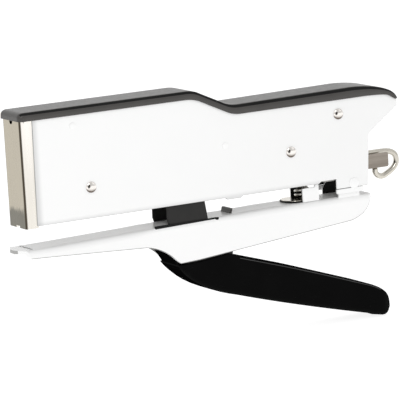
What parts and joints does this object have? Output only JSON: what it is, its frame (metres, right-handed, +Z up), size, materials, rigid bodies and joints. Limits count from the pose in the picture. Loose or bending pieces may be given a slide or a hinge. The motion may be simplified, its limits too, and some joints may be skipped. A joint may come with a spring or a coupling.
{
  "type": "plier stapler",
  "caption": "Hand-held plier stapler with a tall flat body, a hinged anvil arm and a squeeze grip that drives the blade; loads from the rear.",
  "frame": {"origin": "centre of the bounding box's base", "axes": "+X from the nose to the rear, +Z up and square to the magazine, +Y to the right-hand side plate"},
  "size_m": [0.1864, 0.0188, 0.1083],
  "materials": {
    "white_paint": "gloss white enamel",
    "cover_plastic": "satin black moulding",
    "grip_plastic": "gloss black dip coating",
    "lever_paint": "satin black enamel",
    "nickel": "nickel plate, fine vertical brushing",
    "rail_steel": "dull brushed",
    "bare_steel": "rolled sheet",
    "spring_steel": "drawn wire"
  },
  "bodies": {
    "housing": {"side_plate_left": "white_paint", "side_plate_right": "white_paint", "top_cover": "cover_plastic", "nose_channel": "nickel", "magazine_channel": "bare_steel", "staple_rail": "rail_steel", "front_rivet_left": "nickel", "front_rivet_right": "nickel", "rocker_axle": "nickel", "rear_rivet": "nickel", "arm_pivot_pin": "white_paint", "front_tie_pin": "white_paint", "middle_tie_pin": "white_paint", "rocker_bush": "bare_steel", "rear_spacer": "bare_steel", "front_spacer": "bare_steel", "rocker_spring": "spring_steel"},
    "arm": {"anvil_arm": "white_paint", "anvil_plate": "bare_steel", "anvil_rivet": "bare_steel", "spring_seat": "nickel", "spring_box": "white_paint", "opening_spring": "spring_steel", "lever_pin": "bare_steel"},
    "handle": {"handle_lever": "lever_paint", "link_pin": "bare_steel", "grip_shell": "grip_plastic", "grip_rivet_front": "bare_steel", "grip_rivet_rear": "bare_steel"},
    "rocker": {"driver_rocker": "bare_steel"},
    "driver": {"driver_blade": "bare_steel"},
    "pusher": {"pusher_rod": "nickel", "rod_collar": "bare_steel", "follower_spring": "spring_steel"},
    "follower": {"follower": "bare_steel"}
  },
  "joints": [
    {"name": "handle_squeeze", "type": "hinge", "parent": "arm", "child": "handle", "pos_m": [0.00497, 0, 0.04544], "axis": [0, -1, 0], "range_deg": [0, 18], "stiffness_Nm_per_rad": 3, "springref_deg": -8.59},
    {"name": "arm_close", "type": "hinge", "parent": "housing", "child": "arm", "pos_m": [0.06527, 0, 0.05954], "axis": [0, 1, 0], "range_deg": [0, 3], "deforming": ["opening_spring"]},
    {"name": "rocker_drive", "type": "hinge", "parent": "housing", "child": "rocker", "pos_m": [0.03527, 0, 0.07674], "axis": [0, -1, 0], "range_deg": [0, 4.7]},
    {"name": "blade_drop", "type": "slide", "parent": "housing", "child": "driver", "axis": [0, 0, -1], "range_m": [0, 0.01]},
    {"name": "pusher_pull", "type": "slide", "parent": "housing", "child": "pusher", "axis": [1, 0, 0], "range_m": [0, 0.17]},
    {"name": "follower_slide", "type": "slide", "parent": "pusher", "child": "follower", "axis": [1, 0, 0], "range_m": [0, 0.095], "stiffness_N_per_m": 12, "springref_m": -0.08, "deforming": ["follower_spring"]}
  ],
  "couplings": [
    {"joint": "arm_close", "follows": "handle_squeeze", "ratio": 0.16667},
    {"joint": "rocker_drive", "follows": "handle_squeeze", "ratio": 0.26111},
    {"joint": "blade_drop", "follows": "handle_squeeze", "m_per_rad": 0.031799}
  ]
}
